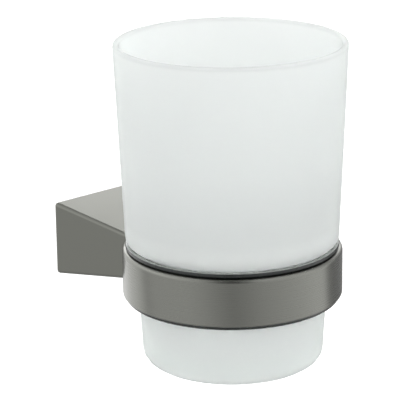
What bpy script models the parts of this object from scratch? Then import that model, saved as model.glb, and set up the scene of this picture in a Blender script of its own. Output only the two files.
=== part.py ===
"""Wall-mounted tumbler holder: a frosted tumbler seated in a plastic liner, a metal ring and a hollow wedge post.

Metres, +Z up. The origin is the centre of the wall face: the wall lies at y = 0, and the ring reaches out along -Y.
z = 0 is half-way up the ring and the post.
"""

import math

import bmesh
import bpy
from mathutils import Matrix, Vector

# Room between pieces that touch, how far a cutter runs past what it cuts, and how near points merge
FIT_GAP = 0.0003
OVERRUN = 0.002
MERGE_DISTANCE = 0.000003

# Holder ring
RING_WALL = 0.00195
RING_HEIGHT = 0.01465
RING_TOP_ROUND = 0.0012
RING_BOTTOM_ROUND = 0.0006
RING_INNER_ROUND = 0.0003

# Lug on the back of the ring, for the two ring screws, with a margin of metal beside each hole
LUG_MARGIN = 0.0030
LUG_HEIGHT = 0.0080
LUG_DEPTH = 0.0032

# Glass tumbler, and how much its radius shrinks down the body, over the shoulder and down the stem
TUMBLER_HEIGHT = 0.0992
RIM_RADIUS = 0.0350
RIM_ROUND = 0.00085
BODY_TAPER = 0.0025
SHOULDER_DEPTH = 0.0030
STEM_TAPER = 0.0018
BASE_ROUND = 0.0038
INNER_BASE_ROUND = 0.0040
GLASS_WALL = 0.0018
GLASS_BASE = 0.0060
BASE_HOLLOW = 0.0008
FOOT_WIDTH = 0.0035
SHOULDER_START = 0.03955
SHOULDER_ROUND = 0.0022
SHOULDER_COVE = 0.0012
SHOULDER_ANGLE = math.radians(66)

# Plastic liner: a flange on the ring, a sleeve, a snap lip, and how far round the shoulder's curve it seats
LINER_WALL = 0.0015
FLANGE_THICKNESS = 0.00135
FLANGE_OVERLAP = 0.0010
FLANGE_TOP_ROUND = 0.0005
FLANGE_UNDER_ROUND = 0.0005
SEAT_ANGLE = math.radians(58)
LIP_HEIGHT = 0.0007
LIP_OVERLAP = 0.0011
LIP_CHAMFER = 0.0002

# Wedge post: its reach to the ring, its section at the wall, and the one it tapers to at the ring's axis
POST_REACH = 0.0275
POST_WALL_WIDTH = 0.0413
POST_WALL_HEIGHT = 0.0240
POST_NOSE_WIDTH = 0.0254
POST_NOSE_HEIGHT = 0.0055
POST_SHELL = 0.0024
POST_EDGE_ROUND = 0.0012
SADDLE_WALL = 0.0055
PAD_RISE = 0.0007
PAD_MARGIN = 0.0012

# Screws and spring washers that hold the ring to the post
SCREW_SPACING = 0.0140
SCREW_RADIUS = 0.0020
SCREW_HEAD_RADIUS = 0.0035
SCREW_HEAD_HEIGHT = 0.0026
SCREW_HEAD_ROUND = 0.0005
SCREW_TIP_CHAMFER = 0.0004
SCREW_TIP_ROOM = 0.0008
SCREW_SOCKET_RADIUS = 0.0017
SCREW_SOCKET_DEPTH = 0.0014
WASHER_RADIUS = 0.0038
WASHER_THICKNESS = 0.0009
WASHER_SPLIT = 0.0007

# Wall plate: a dovetail that the post hooks over
PLATE_THICKNESS = 0.0050
PLATE_BEVEL = 0.0015
PLATE_SIDE_GAP = 0.0006
PLATE_CORNER = 0.0020
PLATE_BOSS_GAP = 0.0008
HOOK_DEPTH = 0.0016
HOOK_WIDTH = 0.0280
SLOT_EDGE_MARGIN = 0.0023
SLOT_RADIUS = 0.0023
SLOT_TRAVEL = 0.0030
SLOT_SINK_RADIUS = 0.0038
SLOT_SINK_DEPTH = 0.0022

# Grub screw under the post, which wedges the plate's lower edge
GRUB_DISTANCE = 0.0038
GRUB_RADIUS = 0.0020
GRUB_LENGTH = 0.0055
GRUB_TIP_RADIUS = 0.0010
GRUB_TIP_HEIGHT = 0.0010
GRUB_SOCKET_RADIUS = 0.00115
GRUB_SOCKET_DEPTH = 0.0020
GRUB_BOSS_WIDTH = 0.0084
GRUB_BOSS_LENGTH = 0.0085
GRUB_BOSS_HEIGHT = 0.0036

# Faceting
TURN_STEPS = 64
FINE_ARC_STEPS = 4
SMALL_ARC_STEPS = 2
FASTENER_SIDES = 24
SMOOTH_ANGLE = math.radians(35)

# Radii worked out from the rim inwards, then outwards through the liner to the ring
BODY_FOOT_RADIUS = RIM_RADIUS - BODY_TAPER
STEM_RADIUS = BODY_FOOT_RADIUS - SHOULDER_DEPTH
BASE_RADIUS = STEM_RADIUS - STEM_TAPER
LINER_BORE = STEM_RADIUS + FIT_GAP
SLEEVE_RADIUS = LINER_BORE + LINER_WALL
RING_INNER_RADIUS = SLEEVE_RADIUS + FIT_GAP
RING_OUTER_RADIUS = RING_INNER_RADIUS + RING_WALL
SADDLE_RADIUS = RING_OUTER_RADIUS + FIT_GAP

# Heights, and distances from the wall
RING_TOP = RING_HEIGHT / 2
FLANGE_TOP = RING_TOP + FIT_GAP + FLANGE_THICKNESS
LINER_BOTTOM = -RING_TOP - FIT_GAP - LIP_HEIGHT
RING_AXIS_DISTANCE = POST_REACH + RING_OUTER_RADIUS
RING_CENTRE = Vector((0, -RING_AXIS_DISTANCE, 0))
PAD_DISTANCE = POST_REACH - FIT_GAP - SADDLE_WALL - PAD_RISE
LUG_END_DISTANCE = POST_REACH - LUG_DEPTH
WASHER_DISTANCE = PAD_DISTANCE - FIT_GAP
HEAD_DISTANCE = WASHER_DISTANCE - WASHER_THICKNESS - FIT_GAP
SCREW_LENGTH = POST_REACH - HEAD_DISTANCE
LUG_WIDTH = SCREW_SPACING + (SCREW_RADIUS + LUG_MARGIN) * 2


def between(start, end, share):
    return start + (end - start) * share


def post_half_width(distance):
    """Half the post's outer width at a distance from the wall."""
    return between(POST_WALL_WIDTH, POST_NOSE_WIDTH, distance / RING_AXIS_DISTANCE) / 2


def post_half_height(distance):
    """Half the post's outer height at a distance from the wall."""
    return between(POST_WALL_HEIGHT, POST_NOSE_HEIGHT, distance / RING_AXIS_DISTANCE) / 2


PLATE_HALF_WIDTH = post_half_width(PLATE_THICKNESS) - POST_SHELL - PLATE_SIDE_GAP
SLOT_PLACE = PLATE_HALF_WIDTH - SLOT_EDGE_MARGIN - SLOT_SINK_RADIUS - SLOT_TRAVEL / 2
PLATE_TOP = post_half_height(PLATE_THICKNESS) - POST_SHELL - FIT_GAP
GRUB_BOSS_TOP = GRUB_BOSS_HEIGHT + POST_SHELL - POST_WALL_HEIGHT / 2
PLATE_BOTTOM = GRUB_BOSS_TOP + PLATE_BOSS_GAP
PLATE_MIDDLE = (PLATE_TOP + PLATE_BOTTOM) / 2


# Scene, materials and modelling helpers


def clear_scene():
    for obj in list(bpy.data.objects):
        bpy.data.objects.remove(obj, do_unlink=True)


def new_collection(name):
    collection = bpy.data.collections.new(name)
    bpy.context.scene.collection.children.link(collection)
    return collection


def principled(name, colour, roughness, metallic=0.0, transmission=0.0):
    material = bpy.data.materials.new(name)
    material.use_nodes = True
    shader = material.node_tree.nodes["Principled BSDF"]
    shader.inputs["Base Color"].default_value = (*colour, 1.0)
    shader.inputs["Roughness"].default_value = roughness
    shader.inputs["Metallic"].default_value = metallic
    shader.inputs["Transmission Weight"].default_value = transmission
    material.diffuse_color = (*colour, 1.0)
    return material


def edge_shading_nodes():
    """Geometry nodes that shade a mesh smooth, apart from the edges sharper than SMOOTH_ANGLE."""
    group = bpy.data.node_groups.new("smooth_by_angle", "GeometryNodeTree")
    for direction in ("INPUT", "OUTPUT"):
        group.interface.new_socket("Geometry", in_out=direction, socket_type="NodeSocketGeometry")
    source = group.nodes.new("NodeGroupInput")
    result = group.nodes.new("NodeGroupOutput")
    faces = group.nodes.new("GeometryNodeSetShadeSmooth")
    edges = group.nodes.new("GeometryNodeSetShadeSmooth")
    edges.domain = "EDGE"
    edge_angle = group.nodes.new("GeometryNodeInputMeshEdgeAngle")
    blunt = group.nodes.new("FunctionNodeCompare")
    blunt.operation = "LESS_THAN"
    blunt.inputs["B"].default_value = SMOOTH_ANGLE
    group.links.new(source.outputs["Geometry"], faces.inputs["Geometry"])
    group.links.new(faces.outputs["Geometry"], edges.inputs["Geometry"])
    group.links.new(edge_angle.outputs["Unsigned Angle"], blunt.inputs["A"])
    group.links.new(blunt.outputs["Result"], edges.inputs["Shade Smooth"])
    group.links.new(edges.outputs["Geometry"], result.inputs["Geometry"])
    return group


clear_scene()
PARTS = new_collection("tumbler_holder")
CUTTERS = new_collection("cutters")

FROSTED_GLASS = principled("frosted_glass", (0.80, 0.84, 0.82), 0.50, transmission=0.4)
GUNMETAL = principled("brushed_gunmetal", (0.17, 0.17, 0.16), 0.34, metallic=1.0)
GREY_PLASTIC = principled("grey_plastic", (0.13, 0.15, 0.145), 0.40)
ZINC = principled("raw_zinc", (0.55, 0.56, 0.57), 0.45, metallic=1.0)
STEEL = principled("bright_steel", (0.62, 0.62, 0.61), 0.30, metallic=1.0)


def add_object(name, mesh, material=None, location=(0, 0, 0), parent=None):
    """Puts a mesh in the scene as a part, or as a cutter where it has no material."""
    obj = bpy.data.objects.new(name, mesh)
    obj.location = location
    obj.parent = parent
    if material is None:
        CUTTERS.objects.link(obj)
        obj.hide_render = True
        obj.display_type = "WIRE"
    else:
        PARTS.objects.link(obj)
        mesh.materials.append(material)
    return obj


def mesh_from(name, shape):
    mesh = bpy.data.meshes.new(name)
    shape.to_mesh(mesh)
    shape.free()
    return mesh


def turned(name, profile, material=None, location=(0, 0, 0), parent=None, closed=True, steps=TURN_STEPS):
    """A solid of revolution about Z. The profile of (radius, height) points runs down its outer side."""
    shape = bmesh.new()
    points = [shape.verts.new((radius, 0, height)) for radius, height in profile]
    for start, end in zip(points, points[1:]):
        shape.edges.new((start, end))
    if closed:
        shape.edges.new((points[-1], points[0]))
    obj = add_object(name, mesh_from(name, shape), material, location, parent)
    screw = obj.modifiers.new("turn", "SCREW")
    screw.axis = "Z"
    screw.angle = math.tau
    screw.steps = steps
    screw.render_steps = steps
    screw.use_smooth_shade = True
    screw.use_merge_vertices = True
    screw.merge_threshold = MERGE_DISTANCE
    return obj


def box(name, low, high):
    """A cutter, or a block to join, between two corners."""
    shape = bmesh.new()
    bmesh.ops.create_cube(shape, size=1)
    low = Vector(low)
    high = Vector(high)
    size = Matrix.Diagonal(high - low).to_4x4()
    bmesh.ops.transform(shape, matrix=Matrix.Translation((low + high) / 2) @ size, verts=shape.verts)
    return add_object(name, mesh_from(name, shape))


def prism(name, radius, start, end, sides=FASTENER_SIDES, stretch=0.0):
    """A round or many-sided cutter from start to end. A stretch draws it out along X into a slot."""
    start = Vector(start)
    end = Vector(end)
    shape = bmesh.new()
    bmesh.ops.create_cone(
        shape,
        cap_ends=True,
        segments=sides,
        radius1=radius,
        radius2=radius,
        depth=(end - start).length,
        matrix=Matrix.Rotation(math.pi / sides, 4, "Z"),
    )
    for vert in shape.verts:
        vert.co.x += math.copysign(stretch / 2, vert.co.x)
    turn = Vector((0, 0, 1)).rotation_difference(end - start).to_matrix().to_4x4()
    bmesh.ops.transform(shape, matrix=Matrix.Translation((start + end) / 2) @ turn, verts=shape.verts)
    return add_object(name, mesh_from(name, shape))


def combine(target, other, operation):
    modifier = target.modifiers.new(other.name, "BOOLEAN")
    modifier.operation = operation
    modifier.solver = "EXACT"
    modifier.object = other


def cut(target, *others):
    for other in others:
        combine(target, other, "DIFFERENCE")


def join(target, other):
    combine(target, other, "UNION")


def normal(angle):
    return Vector((math.cos(angle), math.sin(angle)))


def arc(centre, radius, start, end, steps):
    """Points on an arc about a centre of (radius, height). A negative radius gives the far side, as in a cove."""
    return [centre + normal(between(start, end, step / steps)) * radius for step in range(steps + 1)]


def round_corner(corner, size, start, steps):
    """A quarter round that turns clockwise from the direction start, inside a square corner."""
    inward = normal(start) + normal(start - math.pi / 2)
    return arc(Vector(corner) - inward * size, size, start, start - math.pi / 2, steps)


# Tumbler


BODY_SLOPE = math.atan2(RIM_RADIUS - BODY_FOOT_RADIUS, TUMBLER_HEIGHT - SHOULDER_START)
STEM_SLOPE = math.atan2(STEM_RADIUS - BASE_RADIUS, SHOULDER_START)
SHOULDER_CENTRE = Vector((BODY_FOOT_RADIUS, SHOULDER_START)) - normal(-BODY_SLOPE) * SHOULDER_ROUND
CONE_RUN = (
    SHOULDER_CENTRE.x
    + (SHOULDER_ROUND + SHOULDER_COVE) * math.cos(SHOULDER_ANGLE)
    - SHOULDER_COVE * math.cos(STEM_SLOPE)
    - STEM_RADIUS
) / math.sin(SHOULDER_ANGLE)
COVE_CENTRE = (
    SHOULDER_CENTRE
    + normal(-SHOULDER_ANGLE) * (SHOULDER_ROUND + SHOULDER_COVE)
    + normal(-SHOULDER_ANGLE - math.pi / 2) * CONE_RUN
)
TUMBLER_BASE = FLANGE_TOP + (SHOULDER_ROUND + FIT_GAP) * math.sin(SEAT_ANGLE) - SHOULDER_CENTRE.y


def shoulder(offset, start=-BODY_SLOPE):
    """The shoulder's profile from top to bottom, moved outward from the glass by an offset."""
    rounded = arc(SHOULDER_CENTRE, SHOULDER_ROUND + offset, start, -SHOULDER_ANGLE, FINE_ARC_STEPS)
    cove = arc(COVE_CENTRE, offset - SHOULDER_COVE, -SHOULDER_ANGLE, -STEM_SLOPE, FINE_ARC_STEPS)
    return rounded + cove


def tumbler_outside():
    """From the rim's inner edge over the rim and down to the middle of the underside."""
    rim = Vector((RIM_RADIUS, TUMBLER_HEIGHT))
    inner_rim = rim - Vector((GLASS_WALL, 0))
    lip_inner = arc(inner_rim + Vector((RIM_ROUND, -RIM_ROUND)), RIM_ROUND, math.pi, math.pi / 2, FINE_ARC_STEPS)
    lip_outer = round_corner(rim, RIM_ROUND, math.pi / 2, FINE_ARC_STEPS)
    foot = round_corner((BASE_RADIUS, 0), BASE_ROUND, 0, FINE_ARC_STEPS)
    hollow_radius = BASE_RADIUS - BASE_ROUND - FOOT_WIDTH
    hollow = [Vector((hollow_radius, 0)), Vector((hollow_radius - BASE_HOLLOW, BASE_HOLLOW)), Vector((0, BASE_HOLLOW))]
    return lip_inner + lip_outer + shoulder(0) + foot + hollow


def tumbler_inside():
    """From the middle of the inner base out and up to the shoulder's inner top."""
    corner = Vector((BASE_RADIUS - GLASS_WALL, GLASS_BASE))
    centre = corner + Vector((-INNER_BASE_ROUND, INNER_BASE_ROUND))
    floor = arc(centre, INNER_BASE_ROUND, -math.pi / 2, 0, FINE_ARC_STEPS)
    return [Vector((0, GLASS_BASE))] + floor + shoulder(-GLASS_WALL)[::-1]


def make_tumbler():
    profile = tumbler_inside() + tumbler_outside()
    base = RING_CENTRE + Vector((0, 0, TUMBLER_BASE))
    return turned("tumbler", profile, FROSTED_GLASS, base, closed=False)


# Ring, liner and lug


def make_ring(axis):
    profile = (
        round_corner((RING_OUTER_RADIUS, RING_TOP), RING_TOP_ROUND, math.pi / 2, FINE_ARC_STEPS)
        + round_corner((RING_OUTER_RADIUS, -RING_TOP), RING_BOTTOM_ROUND, 0, FINE_ARC_STEPS)
        + round_corner((RING_INNER_RADIUS, -RING_TOP), RING_INNER_ROUND, -math.pi / 2, SMALL_ARC_STEPS)
        + round_corner((RING_INNER_RADIUS, RING_TOP), RING_INNER_ROUND, math.pi, SMALL_ARC_STEPS)
    )
    ring = turned("holder_ring", profile, GUNMETAL, parent=axis)
    lug = box(
        "lug",
        (-LUG_WIDTH / 2, -RING_AXIS_DISTANCE, -LUG_HEIGHT / 2),
        (LUG_WIDTH / 2, -LUG_END_DISTANCE, LUG_HEIGHT / 2),
    )
    middle_radius = RING_OUTER_RADIUS - RING_WALL / 2
    tall = Vector((0, 0, RING_HEIGHT))
    cut(lug, prism("lug_trim", middle_radius, RING_CENTRE - tall, RING_CENTRE + tall, TURN_STEPS))
    join(ring, lug)
    hole_end = HEAD_DISTANCE + SCREW_LENGTH + SCREW_TIP_ROOM
    for side, name in ((-1, "left"), (1, "right")):
        place = side * SCREW_SPACING / 2
        start = (place, OVERRUN - LUG_END_DISTANCE, 0)
        cut(ring, prism("tapped_hole_" + name, SCREW_RADIUS + FIT_GAP, start, (place, -hole_end, 0)))


def make_liner(axis):
    lift = Vector((0, TUMBLER_BASE))
    inner = [point + lift for point in shoulder(FIT_GAP, -SEAT_ANGLE)]
    lip = RING_INNER_RADIUS + LIP_OVERLAP
    flange = RING_INNER_RADIUS + FLANGE_OVERLAP
    lip_top = LINER_BOTTOM + LIP_HEIGHT
    flange_under = RING_TOP + FIT_GAP
    profile = (
        round_corner((flange, FLANGE_TOP), FLANGE_TOP_ROUND, math.pi / 2, FINE_ARC_STEPS)
        + round_corner((flange, flange_under), FLANGE_UNDER_ROUND, 0, SMALL_ARC_STEPS)
        + [
            Vector((SLEEVE_RADIUS, flange_under)),
            Vector((SLEEVE_RADIUS, lip_top)),
            Vector((lip, lip_top)),
            Vector((lip, LINER_BOTTOM + LIP_CHAMFER)),
            Vector((lip - LIP_CHAMFER, LINER_BOTTOM)),
            Vector((LINER_BORE + LIP_CHAMFER, LINER_BOTTOM)),
            Vector((LINER_BORE, LINER_BOTTOM + LIP_CHAMFER)),
        ]
    )
    turned("tumbler_liner", profile + inner[::-1], GREY_PLASTIC, parent=axis)


# Wedge post


def wedge(name, start, end, inset, material=None, edge_round=0.0):
    """A tapered block along the post between two distances from the wall, inset from the post's outer faces."""
    shape = bmesh.new()
    bmesh.ops.create_cube(shape, size=1)
    for vert in shape.verts:
        distance = start if vert.co.y > 0 else end
        half_width = post_half_width(distance) - inset
        half_height = post_half_height(distance) - inset
        vert.co = (math.copysign(half_width, vert.co.x), -distance, math.copysign(half_height, vert.co.z))
    if edge_round:
        nose = [edge for edge in shape.edges if all(vert.co.y < -(start + end) / 2 for vert in edge.verts)]
        edges = [edge for edge in shape.edges if edge not in nose]
        bmesh.ops.bevel(
            shape,
            geom=edges,
            offset=edge_round,
            offset_type="OFFSET",
            segments=FINE_ARC_STEPS,
            profile=0.5,
            affect="EDGES",
            clamp_overlap=True,
        )
    return add_object(name, mesh_from(name, shape), material)


def hook_height(distance):
    """Height of the underside of the hook that clears the plate's upper bevel at a distance from the wall."""
    slope = PLATE_BEVEL / PLATE_THICKNESS
    return PLATE_TOP - PLATE_BEVEL + slope * distance + FIT_GAP * math.hypot(1, slope)


def make_post():
    post = wedge("bracket_post", 0.0, RING_AXIS_DISTANCE, 0.0, GUNMETAL, POST_EDGE_ROUND)
    tall = Vector((0, 0, POST_WALL_HEIGHT))
    saddle = prism("ring_saddle", SADDLE_RADIUS, RING_CENTRE - tall, RING_CENTRE + tall, TURN_STEPS)

    # The hollow keeps the saddle wall, the screw pad, the hook and the grub screw's boss
    hollow = wedge("post_hollow", -OVERRUN, RING_AXIS_DISTANCE, POST_SHELL)
    saddle_back = prism(
        "saddle_back", SADDLE_RADIUS + SADDLE_WALL, RING_CENTRE - tall, RING_CENTRE + tall, TURN_STEPS
    )
    pad_half_width = LUG_WIDTH / 2 + FIT_GAP + PAD_MARGIN
    pad_half_height = WASHER_RADIUS + PAD_MARGIN
    pad = box(
        "screw_pad",
        (-pad_half_width, -RING_AXIS_DISTANCE, -pad_half_height),
        (pad_half_width, -PAD_DISTANCE, pad_half_height),
    )
    hook = box(
        "plate_hook",
        (-HOOK_WIDTH / 2, -HOOK_DEPTH, hook_height(HOOK_DEPTH)),
        (HOOK_WIDTH / 2, OVERRUN + OVERRUN, POST_WALL_HEIGHT / 2),
    )
    boss = box(
        "grub_boss",
        (-GRUB_BOSS_WIDTH / 2, -GRUB_BOSS_LENGTH, -POST_WALL_HEIGHT / 2),
        (GRUB_BOSS_WIDTH / 2, OVERRUN + OVERRUN, GRUB_BOSS_TOP),
    )
    cut(hollow, saddle_back, pad, hook, boss)

    pocket = box(
        "lug_pocket",
        (-LUG_WIDTH / 2 - FIT_GAP, -RING_AXIS_DISTANCE, -LUG_HEIGHT / 2 - FIT_GAP),
        (LUG_WIDTH / 2 + FIT_GAP, FIT_GAP - LUG_END_DISTANCE, LUG_HEIGHT / 2 + FIT_GAP),
    )
    grub_hole = prism(
        "grub_hole",
        GRUB_RADIUS + FIT_GAP,
        (0, -GRUB_DISTANCE, -POST_WALL_HEIGHT / 2 - OVERRUN),
        (0, -GRUB_DISTANCE, GRUB_BOSS_TOP + OVERRUN),
    )
    cut(post, saddle, hollow, pocket, grub_hole)
    for side, name in ((-1, "left"), (1, "right")):
        place = side * SCREW_SPACING / 2
        start = (place, OVERRUN - PAD_DISTANCE, 0)
        end = (place, -LUG_END_DISTANCE - OVERRUN, 0)
        cut(post, prism("screw_hole_" + name, SCREW_RADIUS + FIT_GAP, start, end))


# Wall plate


def make_plate():
    """A block whose upper and lower edges are undercut towards the wall, with two slots for wall screws."""
    shape = bmesh.new()
    bmesh.ops.create_cube(shape, size=1)
    for vert in shape.verts:
        at_wall = vert.co.y > 0
        bevel = PLATE_BEVEL if at_wall else 0.0
        height = PLATE_TOP - bevel if vert.co.z > 0 else PLATE_BOTTOM + bevel
        vert.co = (
            math.copysign(PLATE_HALF_WIDTH, vert.co.x),
            0.0 if at_wall else -PLATE_THICKNESS,
            height,
        )
    corners = [edge for edge in shape.edges if edge.verts[0].co.y != edge.verts[1].co.y]
    bmesh.ops.bevel(
        shape,
        geom=corners,
        offset=PLATE_CORNER,
        offset_type="OFFSET",
        segments=FINE_ARC_STEPS,
        profile=0.5,
        affect="EDGES",
    )
    plate = add_object("wall_plate", mesh_from("wall_plate", shape), ZINC)
    for side, name in ((-1, "left"), (1, "right")):
        place = side * SLOT_PLACE
        behind = (place, OVERRUN, PLATE_MIDDLE)
        front = (place, -PLATE_THICKNESS - OVERRUN, PLATE_MIDDLE)
        sink_floor = (place, SLOT_SINK_DEPTH - PLATE_THICKNESS, PLATE_MIDDLE)
        cut(
            plate,
            prism("slot_" + name, SLOT_RADIUS, behind, front, stretch=SLOT_TRAVEL),
            prism("slot_sink_" + name, SLOT_SINK_RADIUS, sink_floor, front, stretch=SLOT_TRAVEL),
        )


# Fasteners


def make_ring_screw(name, place):
    """A pan head screw. Its own Z axis runs from the underside of the head towards the head's top."""
    profile = (
        [Vector((0, SCREW_HEAD_HEIGHT))]
        + round_corner((SCREW_HEAD_RADIUS, SCREW_HEAD_HEIGHT), SCREW_HEAD_ROUND, math.pi / 2, FINE_ARC_STEPS)
        + [
            Vector((SCREW_HEAD_RADIUS, 0)),
            Vector((SCREW_RADIUS, 0)),
            Vector((SCREW_RADIUS, SCREW_TIP_CHAMFER - SCREW_LENGTH)),
            Vector((SCREW_RADIUS - SCREW_TIP_CHAMFER, -SCREW_LENGTH)),
            Vector((0, -SCREW_LENGTH)),
        ]
    )
    screw = turned(name, profile, STEEL, (place, -HEAD_DISTANCE, 0), closed=False, steps=FASTENER_SIDES)
    screw.rotation_euler.x = -math.pi / 2
    head_top = SCREW_HEAD_HEIGHT - HEAD_DISTANCE
    socket = prism(
        "socket_" + name,
        SCREW_SOCKET_RADIUS,
        (place, head_top - SCREW_SOCKET_DEPTH, 0),
        (place, head_top + OVERRUN, 0),
        sides=6,
    )
    cut(screw, socket)


def make_ring_washer(name, place):
    """A split spring washer under the screw head."""
    inner = SCREW_RADIUS + FIT_GAP
    profile = [
        Vector((WASHER_RADIUS, WASHER_THICKNESS)),
        Vector((WASHER_RADIUS, 0)),
        Vector((inner, 0)),
        Vector((inner, WASHER_THICKNESS)),
    ]
    washer = turned(name, profile, STEEL, (place, -WASHER_DISTANCE, 0), steps=FASTENER_SIDES)
    washer.rotation_euler.x = -math.pi / 2
    split = box(
        "split_" + name,
        (place - WASHER_SPLIT / 2, -WASHER_DISTANCE - OVERRUN, 0),
        (place + WASHER_SPLIT / 2, WASHER_THICKNESS - WASHER_DISTANCE + OVERRUN, WASHER_RADIUS + OVERRUN),
    )
    cut(washer, split)


def make_grub_screw():
    """A socket grub screw, cone point up, whose point lies just under the plate's lower bevel."""
    slope = PLATE_BEVEL / PLATE_THICKNESS
    edge_distance = GRUB_DISTANCE + GRUB_TIP_RADIUS
    bevel_height = PLATE_BOTTOM + PLATE_BEVEL - slope * edge_distance
    tip_height = bevel_height - FIT_GAP * math.hypot(1, slope)
    profile = [
        Vector((0, GRUB_LENGTH)),
        Vector((GRUB_TIP_RADIUS, GRUB_LENGTH)),
        Vector((GRUB_RADIUS, GRUB_LENGTH - GRUB_TIP_HEIGHT)),
        Vector((GRUB_RADIUS, 0)),
        Vector((0, 0)),
    ]
    base = tip_height - GRUB_LENGTH
    grub = turned(
        "grub_screw", profile, STEEL, (0, -GRUB_DISTANCE, base), closed=False, steps=FASTENER_SIDES
    )
    socket = prism(
        "socket_grub_screw",
        GRUB_SOCKET_RADIUS,
        (0, -GRUB_DISTANCE, base - OVERRUN),
        (0, -GRUB_DISTANCE, base + GRUB_SOCKET_DEPTH),
        sides=6,
    )
    cut(grub, socket)


def main():
    axis = bpy.data.objects.new("ring_axis", None)
    axis.location = RING_CENTRE
    PARTS.objects.link(axis)
    make_tumbler()
    make_ring(axis)
    make_liner(axis)
    make_post()
    make_plate()
    make_grub_screw()
    for side, name in ((-1, "left"), (1, "right")):
        place = side * SCREW_SPACING / 2
        make_ring_screw("ring_screw_" + name, place)
        make_ring_washer("ring_washer_" + name, place)
    shading = edge_shading_nodes()
    for obj in PARTS.objects:
        if obj.type == "MESH":
            obj.modifiers.new("smooth_by_angle", "NODES").node_group = shading


main()
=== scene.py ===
"""Studio picture of a wall-mounted tumbler holder: the finishes of its pieces, soft light and the camera."""

import math

import bpy
from mathutils import Matrix, Vector


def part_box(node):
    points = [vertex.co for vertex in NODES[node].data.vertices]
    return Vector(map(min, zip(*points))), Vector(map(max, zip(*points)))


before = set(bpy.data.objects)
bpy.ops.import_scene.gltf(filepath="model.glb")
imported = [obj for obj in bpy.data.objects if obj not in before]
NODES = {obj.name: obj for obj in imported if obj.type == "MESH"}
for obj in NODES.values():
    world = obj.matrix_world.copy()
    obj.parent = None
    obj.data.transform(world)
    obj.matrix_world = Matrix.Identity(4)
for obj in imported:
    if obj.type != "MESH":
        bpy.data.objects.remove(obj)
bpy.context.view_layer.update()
MM = 0.001
WHITE = (1, 1, 1, 1)
BLACK = (0.0, 0.0, 0.0)

# Camera, placed about the tumbler's axis and above its base
CAMERA_AZIMUTH = math.radians(-43)
CAMERA_DISTANCE = 0.609905
CAMERA_HEIGHT = 0.236144
CAMERA_YAW = math.radians(0.9045)
CAMERA_PITCH = math.radians(-16.958)
CAMERA_ROLL = math.radians(-0.747)
LENS_MM = 189.71
SENSOR_MM = 36.0
CLIP_START = 0.01
CLIP_END = 30.0

# Shading of the carried-over nodes
WELD_DISTANCE = 0.002 * MM
SMOOTH_ANGLE = math.radians(35)

# Noise: its detail, its usual roughness, and the part of its spread that a ramp uses
PLAIN_DETAIL = 2.0
FINE_DETAIL = 3.0
NOISE_ROUGHNESS = 0.5
NOISE_LOW = 0.3
NOISE_HIGH = 0.7

# Strength of a bump
FULL_BUMP = 0.6
SOFT_BUMP = 0.5

# Frosted glass, whose noise scales, like those below, are per metre
GLASS_GRAIN_SCALE = 3200
GLASS_GRAIN_DEPTH = 0.02 * MM
GLASS_CLOUD_SCALE = 70
GLASS_DARKER = (0.96, 0.973, 0.968)
GLASS_PALER = (0.978, 0.99, 0.985)
GLASS_ROUGHNESS = (0.90, 0.98)
GLASS_IOR = 1.50
GLASS_TRANSMISSION = 0.6
GLASS_TINT = (0.93, 0.95, 0.94, 1)
GLASS_TINT_DENSITY = 130.0

# Painted light and shade on the frosted glass, by height above the tumbler's base: paler just above the
# liner, darker in a band above that and at the rim
GLASS_PAINTED_LIGHT_AND_SHADE = (
    (0.0000, 0.965),
    (0.0400, 0.990),
    (0.0425, 0.970),
    (0.0455, 0.920),
    (0.0500, 0.925),
    (0.0650, 0.965),
    (0.0850, 0.955),
    (0.0978, 0.955),
    (0.0986, 0.860),
)

# Heights above the tumbler's base between which its glass is shaded nearly upright
SHOULDER_LOW = 36 * MM
SHOULDER_HIGH = 46 * MM
SHOULDER_FADE = 2 * MM

# How far down a surface may turn there, and anywhere else, by the height part of its direction
SHOULDER_TURN = -0.05
STRAIGHT_DOWN = -1.0

# Brushed metal: how its streaks are stretched, and how much streaks and patches each wear it
STREAK_STRETCH = (60, 60, 5200)
STREAK_NOISE_ROUGHNESS = 0.6
STREAK_SHARE = 0.7
PATCH_SHARE = 0.3
METAL_PATCH_SCALE = 90
BRUSHING = 0.8
RING_FINISH = {
    "axis": "Z",
    "rotation": 0.25,
    "depth": 0.004 * MM,
    "darker": (0.190, 0.193, 0.176),
    "lighter": (0.213, 0.216, 0.197),
    "roughness": (0.26, 0.30),
}
POST_FINISH = {
    "axis": "Y",
    "rotation": 0.0,
    "depth": 0.002 * MM,
    "darker": (0.159, 0.162, 0.145),
    "lighter": (0.167, 0.170, 0.152),
    "roughness": (0.29, 0.31),
}

# Moulded plastic, with a painted highlight that makes it paler on faces that point up by more than the first
# share, and fully from the second
PLASTIC_GRAIN_SCALE = 1800
PLASTIC_GRAIN_DEPTH = 0.01 * MM
PLASTIC_PATCH_SCALE = 150
PLASTIC_DARKER = (0.008, 0.011, 0.010)
PLASTIC_LIGHTER = (0.014, 0.018, 0.017)
PLASTIC_PAINTED_HIGHLIGHT = (0.32, 0.34, 0.325)
PLASTIC_ROUGHNESS = (0.22, 0.30)
PAINTED_HIGHLIGHT_SHARES = (0.5, 0.95)

# Cast zinc
ZINC_GRAIN_SCALE = 1500
ZINC_GRAIN_DEPTH = 0.02 * MM
ZINC_PATCH_SCALE = 120
ZINC_DARKER = (0.46, 0.47, 0.48)
ZINC_LIGHTER = (0.58, 0.59, 0.60)
ZINC_ROUGHNESS = (0.38, 0.55)

# Turned steel
STEEL_STRETCH = (900, 4000, 900)
STEEL_LINE_DEPTH = 0.005 * MM
STEEL_DARKER = (0.55, 0.55, 0.54)
STEEL_LIGHTER = (0.68, 0.68, 0.67)
STEEL_ROUGHNESS = (0.24, 0.36)

# Floor
FLOOR_DROP = 0.50
FLOOR_RADIUS = 6.0
FLOOR_SIDES = 96
FLOOR_COLOUR = (0.70, 0.70, 0.70, 1)
FLOOR_ROUGHNESS = 0.9
FLOOR_GLOW = 0.62

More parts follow.
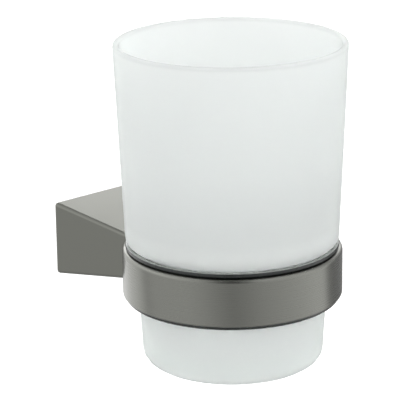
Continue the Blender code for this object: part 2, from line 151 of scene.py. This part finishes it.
# Key lamp, seen from the tumbler, and the height above its base that the lamp points at
KEY_AZIMUTH = math.radians(22)
KEY_ELEVATION = math.radians(14)
KEY_DISTANCE = 1.5
KEY_SIZE = (0.9, 0.6)
KEY_POWER = 3.0
KEY_AIM = 40 * MM

# Brightness of the studio's walls, by degrees to the right of the camera's side, from the lowest band upwards
LOW_TONES = (
    (-180, 0.80),
    (-168, 1.10),
    (-150, 1.40),
    (-118, 1.38),
    (-108, 1.15),
    (-101, 0.74),
    (-90, 1.01),
    (-48, 1.09),
    (-28, 0.98),
    (0, 0.66),
    (28, 0.88),
    (54, 1.08),
    (90, 1.36),
    (110, 1.40),
    (121, 0.42),
    (145, 0.33),
    (172, 0.36),
)
MIDDLE_TONES = (
    (-180, 3.00),
    (-166, 3.00),
    (-148, 1.60),
    (-110, 1.70),
    (-84, 1.75),
    (-35, 1.10),
    (-12, 0.25),
    (0, 0.15),
    (12, 0.25),
    (31, 1.05),
    (60, 1.20),
    (90, 1.45),
    (125, 0.85),
    (150, 0.65),
    (168, 2.35),
)
HIGH_TONES = (
    (-180, 0.35),
    (-110, 1.10),
    (-84, 1.30),
    (-35, 1.00),
    (-12, 0.30),
    (0, 0.15),
    (12, 0.30),
    (31, 1.10),
    (60, 1.25),
    (90, 1.25),
    (140, 0.60),
)
HALF_TURN = 180
BRIGHTEST_TONE = 3.0
CEILING_TONE = 0.25
GROUND_TONE = 0.72

# Where each band begins and is full, as the height part of the direction that looks at it
MIDDLE_HEIGHTS = (-0.10, 0.30)
HIGH_HEIGHTS = (0.52, 0.72)
CEILING_HEIGHTS = (0.92, 1.00)
GROUND_HEIGHTS = (-0.40, -0.70)

# Directions level with the ground, as the camera has them, and the middle of the tumbler's base
UP = Vector((0, 0, 1))
RIGHT = Vector((math.cos(CAMERA_AZIMUTH), math.sin(CAMERA_AZIMUTH), 0))
AWAY = Vector((-math.sin(CAMERA_AZIMUTH), math.cos(CAMERA_AZIMUTH), 0))
TUMBLER_LOW, TUMBLER_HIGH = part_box("tumbler")
TUMBLER_HEIGHT = TUMBLER_HIGH.z - TUMBLER_LOW.z
TUMBLER_BASE = (TUMBLER_LOW + TUMBLER_HIGH) / 2 - UP * TUMBLER_HEIGHT / 2


# Node helpers


class Graph:
    """A node tree with short calls to add nodes and link them."""

    def __init__(self, tree):
        self.tree = tree

    def node(self, kind, settings=None, **inputs):
        made = self.tree.nodes.new(kind)
        for name, value in (settings or {}).items():
            setattr(made, name, value)
        for name, value in inputs.items():
            self.feed(made, name.replace("_", " "), value)
        return made

    def feed(self, node, name, value):
        """Links or sets an input, which is named or, where names repeat, given by its number."""
        socket = node.inputs[int(name)] if name.isdigit() else node.inputs[name]
        if isinstance(value, bpy.types.NodeSocket):
            self.tree.links.new(value, socket)
        else:
            socket.default_value = value

    def math(self, operation, first, second):
        made = self.node("ShaderNodeMath", {"operation": operation})
        self.feed(made, "0", first)
        self.feed(made, "1", second)
        return made.outputs[0]

    def ramp(self, value, low, high, to_low=0.0, to_high=1.0, kind="SMOOTHSTEP"):
        made = self.node("ShaderNodeMapRange", {"interpolation_type": kind}, Value=value)
        for name, number in zip(("From Min", "From Max", "To Min", "To Max"), (low, high, to_low, to_high)):
            made.inputs[name].default_value = number
        return made.outputs["Result"]

    def spread(self, value, limits):
        """A noise's usual spread, taken smoothly to a range."""
        return self.ramp(value, NOISE_LOW, NOISE_HIGH, *limits)


def new_material(name):
    material = bpy.data.materials.new(name)
    material.use_nodes = True
    graph = Graph(material.node_tree)
    shader = material.node_tree.nodes["Principled BSDF"]
    return material, graph, shader


def object_point(graph, stretch=(1, 1, 1)):
    """The surface point in metres, stretched along each axis."""
    coordinates = graph.node("ShaderNodeTexCoord")
    mapping = graph.node("ShaderNodeMapping", Vector=coordinates.outputs["Object"])
    mapping.inputs["Scale"].default_value = stretch
    return mapping.outputs["Vector"]


def noise(graph, point, scale=1.0, detail=PLAIN_DETAIL, roughness=NOISE_ROUGHNESS):
    made = graph.node("ShaderNodeTexNoise", Vector=point, Scale=scale, Detail=detail, Roughness=roughness)
    return made.outputs["Fac"]


def bump(graph, shader, height, distance, strength, facing=None):
    made = graph.node("ShaderNodeBump", Height=height, Distance=distance, Strength=strength)
    if facing:
        graph.feed(made, "Normal", facing)
    graph.feed(shader, "Normal", made.outputs["Normal"])


def surface_direction(graph):
    return graph.node("ShaderNodeNewGeometry").outputs["Normal"]


def parts_of(graph, vector):
    return graph.node("ShaderNodeSeparateXYZ", Vector=vector).outputs


def colour_between(graph, factor, first, second):
    mix = graph.node("ShaderNodeMix", {"data_type": "RGBA"})
    for slot, value in zip("067", (factor, first, second)):
        graph.feed(mix, slot, (*value, 1) if isinstance(value, tuple) else value)
    return mix.outputs[2]


def blend(graph, share, first, second):
    made = graph.node("ShaderNodeMix", {"data_type": "FLOAT"}, Factor=share, A=first, B=second)
    return made.outputs[0]


def tone_along(graph, share, stops):
    """A grey that goes evenly from stop to stop, where each is a share of the way and its level."""
    ramp = graph.node("ShaderNodeValToRGB", Fac=share)
    elements = ramp.color_ramp.elements
    while len(elements) < len(stops):
        elements.new(0.5)
    for element, (place, level) in zip(elements, stops):
        element.position = place
        element.color = (level, level, level, 1)
    return ramp.outputs["Color"]


def along(graph, direction, axis):
    made = graph.node("ShaderNodeVectorMath", {"operation": "DOT_PRODUCT"})
    graph.feed(made, "0", direction)
    made.inputs[1].default_value = axis
    return made.outputs["Value"]


def into_space(graph, direction, start, end):
    """A surface's direction, taken from one space to another."""
    spaces = {"vector_type": "NORMAL", "convert_from": start, "convert_to": end}
    return graph.node("ShaderNodeVectorTransform", spaces, Vector=direction).outputs["Vector"]


# Finishes


def upright_shoulder(graph, height):
    """The surface's direction, which at the shoulder turns down no further than SHOULDER_TURN."""
    facing = parts_of(graph, into_space(graph, surface_direction(graph), "WORLD", "OBJECT"))
    low, high, fade = SHOULDER_LOW, SHOULDER_HIGH, SHOULDER_FADE
    below = graph.ramp(height, low, low + fade, STRAIGHT_DOWN, SHOULDER_TURN, kind="LINEAR")
    above = graph.ramp(height, high - fade, high, SHOULDER_TURN, STRAIGHT_DOWN, kind="LINEAR")
    held = graph.math("MAXIMUM", facing["Z"], graph.math("MINIMUM", below, above))
    held = graph.node("ShaderNodeCombineXYZ", X=facing["X"], Y=facing["Y"], Z=held)
    return into_space(graph, held.outputs["Vector"], "OBJECT", "WORLD")


def frosted_glass():
    """Acid-etched glass: a fine even grain, faint cloudy changes of roughness, and painted light and shade by
    height that greys the rim.
    """
    material, graph, shader = new_material("frosted_glass")
    point = object_point(graph)
    grain = noise(graph, point, GLASS_GRAIN_SCALE)
    cloud = noise(graph, point, GLASS_CLOUD_SCALE, FINE_DETAIL)
    etched = colour_between(graph, cloud, GLASS_DARKER, GLASS_PALER)
    height = graph.math("SUBTRACT", parts_of(graph, point)["Z"], TUMBLER_LOW.z)
    share = graph.math("DIVIDE", height, TUMBLER_HEIGHT)
    # The glass's colour is scaled by painted light and shade that change with height
    tone = tone_along(graph, share, [(place / TUMBLER_HEIGHT, level) for place, level in GLASS_PAINTED_LIGHT_AND_SHADE])
    graph.feed(shader, "Base Color", colour_between(graph, tone, BLACK, etched))
    graph.feed(shader, "Roughness", graph.spread(cloud, GLASS_ROUGHNESS))
    shader.inputs["IOR"].default_value = GLASS_IOR
    shader.inputs["Transmission Weight"].default_value = GLASS_TRANSMISSION
    bump(graph, shader, grain, GLASS_GRAIN_DEPTH, FULL_BUMP, upright_shoulder(graph, height))
    tint = graph.node("ShaderNodeVolumeAbsorption", Color=GLASS_TINT, Density=GLASS_TINT_DENSITY)
    graph.feed(graph.tree.nodes["Material Output"], "Volume", tint.outputs["Volume"])
    return material


def brushed_metal(name, axis, rotation, depth, darker, lighter, roughness):
    """Satin metal with fine level brushing, which blurs reflections across its lines more than along them."""
    material, graph, shader = new_material(name)
    stretched = object_point(graph, STREAK_STRETCH)
    streaks = noise(graph, stretched, detail=FINE_DETAIL, roughness=STREAK_NOISE_ROUGHNESS)
    patches = noise(graph, object_point(graph), METAL_PATCH_SCALE)
    graph.feed(shader, "Base Color", colour_between(graph, streaks, darker, lighter))
    shader.inputs["Metallic"].default_value = 1.0
    streak_wear = graph.math("MULTIPLY", streaks, STREAK_SHARE)
    patch_wear = graph.math("MULTIPLY", patches, PATCH_SHARE)
    graph.feed(shader, "Roughness", graph.spread(graph.math("ADD", streak_wear, patch_wear), roughness))
    bump(graph, shader, streaks, depth, FULL_BUMP)
    shader.inputs["Anisotropic"].default_value = BRUSHING
    shader.inputs["Anisotropic Rotation"].default_value = rotation
    tangent = graph.node("ShaderNodeTangent", {"direction_type": "RADIAL", "axis": axis})
    graph.feed(shader, "Tangent", tangent.outputs["Tangent"])
    return material


def moulded_plastic():
    material, graph, shader = new_material("moulded_plastic")
    point = object_point(graph)
    grain = noise(graph, point, PLASTIC_GRAIN_SCALE)
    patches = noise(graph, point, PLASTIC_PATCH_SCALE)
    dark = colour_between(graph, patches, PLASTIC_DARKER, PLASTIC_LIGHTER)
    # Faces that point up get a painted highlight in place of the plastic's dark colour
    painted_highlight = graph.ramp(parts_of(graph, surface_direction(graph))["Z"], *PAINTED_HIGHLIGHT_SHARES)
    graph.feed(shader, "Base Color", colour_between(graph, painted_highlight, dark, PLASTIC_PAINTED_HIGHLIGHT))
    graph.feed(shader, "Roughness", graph.spread(patches, PLASTIC_ROUGHNESS))
    bump(graph, shader, grain, PLASTIC_GRAIN_DEPTH, SOFT_BUMP)
    return material


def cast_zinc():
    material, graph, shader = new_material("cast_zinc")
    point = object_point(graph)
    grain = noise(graph, point, ZINC_GRAIN_SCALE, FINE_DETAIL)
    patches = noise(graph, point, ZINC_PATCH_SCALE, FINE_DETAIL)
    graph.feed(shader, "Base Color", colour_between(graph, patches, ZINC_DARKER, ZINC_LIGHTER))
    shader.inputs["Metallic"].default_value = 1.0
    graph.feed(shader, "Roughness", graph.spread(grain, ZINC_ROUGHNESS))
    bump(graph, shader, grain, ZINC_GRAIN_DEPTH, FULL_BUMP)
    return material


def turned_steel():
    material, graph, shader = new_material("turned_steel")
    lines = noise(graph, object_point(graph, STEEL_STRETCH))
    graph.feed(shader, "Base Color", colour_between(graph, lines, STEEL_DARKER, STEEL_LIGHTER))
    shader.inputs["Metallic"].default_value = 1.0
    graph.feed(shader, "Roughness", graph.spread(lines, STEEL_ROUGHNESS))
    bump(graph, shader, lines, STEEL_LINE_DEPTH, SOFT_BUMP)
    return material


# Shading of the carried-over solids


def smooth_shading():
    """Geometry nodes that weld a faceted solid's corners and shade it smooth, apart from its sharp edges."""
    group = bpy.data.node_groups.new("smooth_by_angle", "GeometryNodeTree")
    for direction in ("INPUT", "OUTPUT"):
        group.interface.new_socket("Geometry", in_out=direction, socket_type="NodeSocketGeometry")
    graph = Graph(group)
    solid = graph.node("NodeGroupInput").outputs["Geometry"]
    plain = graph.node("GeometryNodeRemoveAttribute", Geometry=solid, Name="custom_normal")
    plain = plain.outputs["Geometry"]
    welded = graph.node("GeometryNodeMergeByDistance", Geometry=plain, Distance=WELD_DISTANCE)
    faces = graph.node("GeometryNodeSetShadeSmooth", Geometry=welded.outputs["Geometry"])
    faces.inputs["Shade Smooth"].default_value = True
    angle = graph.node("GeometryNodeInputMeshEdgeAngle")
    blunt = graph.node("FunctionNodeCompare", {"operation": "LESS_THAN"}, A=angle.outputs["Unsigned Angle"])
    blunt.inputs["B"].default_value = SMOOTH_ANGLE
    edges = graph.node("GeometryNodeSetShadeSmooth", {"domain": "EDGE"}, Geometry=faces.outputs["Geometry"])
    graph.feed(edges, "Shade Smooth", blunt.outputs["Result"])
    graph.node("NodeGroupOutput", Geometry=edges.outputs["Geometry"])
    return group


def dress(name, material, shading):
    node = NODES[name]
    node.data.materials.clear()
    node.data.materials.append(material)
    node.modifiers.new("smooth_by_angle", "NODES").node_group = shading
    weighted = node.modifiers.new("weighted_normals", "WEIGHTED_NORMAL")
    weighted.keep_sharp = True


def dress_nodes():
    shading = smooth_shading()
    ring = brushed_metal("ring_gunmetal", **RING_FINISH)
    post = brushed_metal("post_gunmetal", **POST_FINISH)
    steel = turned_steel()
    finishes = {
        "tumbler": frosted_glass(),
        "tumbler_liner": moulded_plastic(),
        "holder_ring": ring,
        "bracket_post": post,
        "wall_plate": cast_zinc(),
        "grub_screw": steel,
        "ring_screw_left": steel,
        "ring_screw_right": steel,
        "ring_washer_left": steel,
        "ring_washer_right": steel,
    }
    for name, material in finishes.items():
        dress(name, material, shading)


# Studio


def seen_rays(graph):
    """1 for what the camera sees directly, by reflection or through glass, else 0."""
    path = graph.node("ShaderNodeLightPath")
    some = graph.math("MAXIMUM", path.outputs["Is Camera Ray"], path.outputs["Is Glossy Ray"])
    return graph.math("MAXIMUM", some, path.outputs["Is Transmission Ray"])


def make_floor():
    place = (0, 0, TUMBLER_LOW.z - FLOOR_DROP)
    bpy.ops.mesh.primitive_circle_add(
        vertices=FLOOR_SIDES, radius=FLOOR_RADIUS, fill_type="NGON", location=place
    )
    floor = bpy.context.object
    floor.name = "floor"
    material, graph, shader = new_material("floor")
    shader.inputs["Base Color"].default_value = FLOOR_COLOUR
    shader.inputs["Roughness"].default_value = FLOOR_ROUGHNESS
    shader.inputs["Specular IOR Level"].default_value = 0.0
    shader.inputs["Emission Color"].default_value = WHITE
    graph.feed(shader, "Emission Strength", graph.math("MULTIPLY", seen_rays(graph), FLOOR_GLOW))
    floor.data.materials.append(material)
    floor.visible_glossy = False


def wall_tone(graph, turn, tones):
    """The brightness at a turn round the object, which goes from 0 to 1, rightwards from straight behind."""
    stops = [((degrees + HALF_TURN) / (2 * HALF_TURN), tone / BRIGHTEST_TONE) for degrees, tone in tones]
    share = tone_along(graph, turn, stops + [(1.0, stops[0][1])])
    return graph.math("MULTIPLY", share, BRIGHTEST_TONE)


def make_world():
    """White for the camera and through glass, and otherwise a ground, three bands of wall and a ceiling."""
    world = bpy.data.worlds.new("studio")
    bpy.context.scene.world = world
    world.use_nodes = True
    graph = Graph(world.node_tree)
    background = world.node_tree.nodes["Background"]
    path = graph.node("ShaderNodeLightPath")
    direction = graph.node("ShaderNodeTexCoord").outputs["Generated"]
    height = along(graph, direction, UP)
    turn = graph.math("ARCTAN2", along(graph, direction, RIGHT), along(graph, direction, -AWAY))
    turn = graph.ramp(turn, -math.pi, math.pi, kind="LINEAR")
    tone = wall_tone(graph, turn, LOW_TONES)
    tone = blend(graph, graph.ramp(height, *MIDDLE_HEIGHTS), tone, wall_tone(graph, turn, MIDDLE_TONES))
    tone = blend(graph, graph.ramp(height, *HIGH_HEIGHTS), tone, wall_tone(graph, turn, HIGH_TONES))
    tone = blend(graph, graph.ramp(height, *CEILING_HEIGHTS), tone, CEILING_TONE)
    tone = blend(graph, graph.ramp(height, *GROUND_HEIGHTS), tone, GROUND_TONE)
    seen = graph.math("MAXIMUM", path.outputs["Is Camera Ray"], path.outputs["Is Transmission Ray"])
    background.inputs["Color"].default_value = WHITE
    graph.feed(background, "Strength", blend(graph, seen, tone, 1.0))


def make_key_lamp():
    """A soft lamp in front, to the right, which metal and glass don't mirror."""
    target = TUMBLER_BASE + UP * KEY_AIM
    level = math.sin(KEY_AZIMUTH) * RIGHT - math.cos(KEY_AZIMUTH) * AWAY
    direction = math.cos(KEY_ELEVATION) * level + math.sin(KEY_ELEVATION) * UP
    data = bpy.data.lights.new("key", "AREA")
    data.shape = "RECTANGLE"
    data.size, data.size_y = KEY_SIZE
    data.energy = KEY_POWER
    lamp = bpy.data.objects.new("key", data)
    bpy.context.scene.collection.objects.link(lamp)
    lamp.location = target + KEY_DISTANCE * direction
    lamp.rotation_mode = "QUATERNION"
    lamp.rotation_quaternion = (-direction).to_track_quat("-Z", "Y")
    lamp.visible_glossy = False


def make_camera():
    sideways = math.cos(CAMERA_YAW) * RIGHT + math.sin(CAMERA_YAW) * AWAY
    level = math.cos(CAMERA_YAW) * AWAY - math.sin(CAMERA_YAW) * RIGHT
    forward = math.cos(CAMERA_PITCH) * level + math.sin(CAMERA_PITCH) * UP
    upright = sideways.cross(forward)
    right = math.cos(CAMERA_ROLL) * sideways + math.sin(CAMERA_ROLL) * upright
    above = math.cos(CAMERA_ROLL) * upright - math.sin(CAMERA_ROLL) * sideways
    data = bpy.data.cameras.new("camera")
    data.sensor_width = SENSOR_MM
    data.lens = LENS_MM
    data.clip_start = CLIP_START
    data.clip_end = CLIP_END
    camera = bpy.data.objects.new("camera", data)
    bpy.context.scene.collection.objects.link(camera)
    turn = Matrix((right, above, -forward)).transposed().to_4x4()
    place = TUMBLER_BASE - AWAY * CAMERA_DISTANCE + UP * CAMERA_HEIGHT
    camera.matrix_world = Matrix.Translation(place) @ turn
    bpy.context.scene.camera = camera


bpy.context.scene.view_settings.view_transform = "Standard"
dress_nodes()
make_floor()
make_world()
make_key_lamp()
make_camera()
